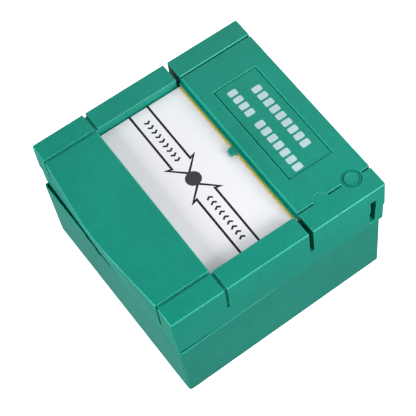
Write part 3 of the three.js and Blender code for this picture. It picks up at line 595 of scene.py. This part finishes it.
# a bar of even width along a bent line: square corners at both sides of each point, pushed out on the
# bisector by the half width over the cosine of half the turn, and carried from the low to the high level
def inkBar(line, width, low, high):
    line = np.asarray(line, float)
    steps = np.diff(line, axis=0)
    steps /= np.linalg.norm(steps, axis=1)[:, None]
    before = np.concatenate([steps[:1], steps])
    after = np.concatenate([steps, steps[-1:]])
    bisector = before + after
    bisector /= np.linalg.norm(bisector, axis=1)[:, None]
    push = width / 2 / np.maximum((bisector * before).sum(1), leastCosine)
    side = np.stack([-bisector[:, 1], bisector[:, 0]], 1) * push[:, None]
    left, right = line + side, line - side
    count = len(line)
    corners = np.stack([np.c_[left, np.full(count, low)], np.c_[right, np.full(count, low)],
                        np.c_[right, np.full(count, high)], np.c_[left, np.full(count, high)]], 1)
    index = np.arange(4 * count).reshape(count, 4)
    walls = np.stack([index[:-1], index[1:], np.roll(index[1:], -1, 1), np.roll(index[:-1], -1, 1)], -1)
    faces = walls.reshape(-1, 4).tolist() + [index[0].tolist(), index[-1][::-1].tolist()]
    return corners.reshape(-1, 3), faces


# an upright bar between two levels whose outline is four quarter circles, each centred radius in from both
# sides of its corner
def inkBlock(middle, width, height, radius, low, high):
    corners = [(width / 2 - radius, height / 2 - radius, 0), (radius - width / 2, height / 2 - radius, 90),
               (radius - width / 2, radius - height / 2, 180), (width / 2 - radius, radius - height / 2, 270)]
    outline = np.concatenate([arcPoints((x, y), radius, turn, turn + 90, cornerSteps)
                              for x, y, turn in corners])
    outline = outline + np.asarray(middle)
    count = len(outline)
    points = np.concatenate([np.c_[outline, np.full(count, low)], np.c_[outline, np.full(count, high)]])
    index = np.arange(count)
    onward = np.roll(index, -1)
    faces = np.stack([index, onward, onward + count, index + count], 1).tolist()
    return points, faces + [index[::-1].tolist(), (index + count).tolist()]


# every part's faces count on from the number of points before it
def joinedMesh(name, parts):
    points, faces, start = [], [], 0
    for partPoints, partFaces in parts:
        points.append(partPoints)
        faces.extend([[corner + start for corner in face] for face in partFaces])
        start += len(partPoints)
    data = bpy.data.meshes.new(name)
    data.from_pydata(np.concatenate(points).tolist(), [], faces)
    return tidied(data)


printSet = {
    "line": 0.84,                              # line width, mm
    "body": 3.75,                              # half height of an arrow's body
    "barb": 5.5,
    "bodyEnd": 7.4,                            # distances from the middle of the plate
    "barbEnd": 7.9,
    "point": 2.6,
    "dot": 2.9,
    "chevrons": 9,                             # marks inside each arrow, where they start and stop
    "chevronStart": 9.2,
    "chevronStop": 28.0,
    "chevronHeight": 1.1,
    "chevronReach": 0.75,
    "chevronLine": 0.72,
    "lift": 0.012,                             # the ink stands this far above the plate
    "dotLift": 0.004,                          # and the dot this much above the other ink
    "sunk": 0.05,                              # and reaches this far into it
    "rise": 0.75,                              # the print lies above the middle of the bare plate by this
    "dotSides": 64,
}


# every point is the print's middle + (side x its distance along X, its height along Y), with side -1 and 1
def makePlatePrint(look):
    low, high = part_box("press_plate")
    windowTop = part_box("upper_fascia")[0].y
    middle = np.array([(low.x + high.x) / 2, (low.y + windowTop) / 2 + look["rise"] * mm])
    base, top = high.z - look["sunk"] * mm, high.z + look["lift"] * mm
    dotTop = top + look["dotLift"] * mm
    edge = (high.x - low.x) / 2 / mm
    parts = []
    for side in (-1, 1):
        arrow = [(edge, look["body"]), (look["bodyEnd"], look["body"]), (look["barbEnd"], look["barb"]),
                 (look["point"], 0.0), (look["barbEnd"], -look["barb"]), (look["bodyEnd"], -look["body"]),
                 (edge, -look["body"])]
        parts.append(inkBar(middle + np.array(arrow) * [side * mm, mm], look["line"] * mm, base, top))
        for x in np.linspace(look["chevronStart"], look["chevronStop"], look["chevrons"]):
            chevron = [(x + look["chevronReach"], look["chevronHeight"]), (x, 0.0),
                       (x + look["chevronReach"], -look["chevronHeight"])]
            line = middle + np.array(chevron) * [side * mm, mm]
            parts.append(inkBar(line, look["chevronLine"] * mm, base, top))
    addPiece("plate_arrows", joinedMesh("plate_arrows", parts), "plateInk", "plate")
    radius = look["dot"] * mm
    profile = [(0, base), (radius, base), (radius, dotTop), (0, dotTop)]
    dot = turned("plate_dot", middle, profile, look["dotSides"])
    addPiece("plate_dot", dot, "dotInk", "plate")


labelSet = {
    "rows": (                                  # rise of each row, height of its marks, and its groups
        {"rise": 3.9, "tall": 3.6, "groups": ((-15.5, 15.0, 9),)},
        {"rise": -3.7, "tall": 3.5, "groups": ((-19.2, -6.6, 4), (-3.0, 21.0, 7))},
    ),
    "gap": 0.9,                                # a group is its start, its stop and its count of marks
    "round": 0.6,
    "lift": 0.02,
    "sunk": 0.05,
}


# a group's pitch is (stop - start + gap) / count, and mark i has its middle at start + pitch x (i + 1/2) -
# gap / 2
def makeLabelMarks(look):
    low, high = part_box("label_plate")
    middle = (low + high) / 2
    parts = []
    for row in look["rows"]:
        for start, stop, count in row["groups"]:
            pitch = (stop - start + look["gap"]) / count
            for i in range(count):
                place = (middle.x + (start + pitch * (i + 0.5) - look["gap"] / 2) * mm,
                         middle.y + row["rise"] * mm)
                parts.append(inkBlock(place, (pitch - look["gap"]) * mm, row["tall"] * mm, look["round"] * mm,
                                      high.z - look["sunk"] * mm, high.z + look["lift"] * mm))
    addPiece("label_marks", joinedMesh("label_marks", parts), "labelInk", "case")


makePlatePrint(printSet)
makeLabelMarks(labelSet)
print("printing ready")
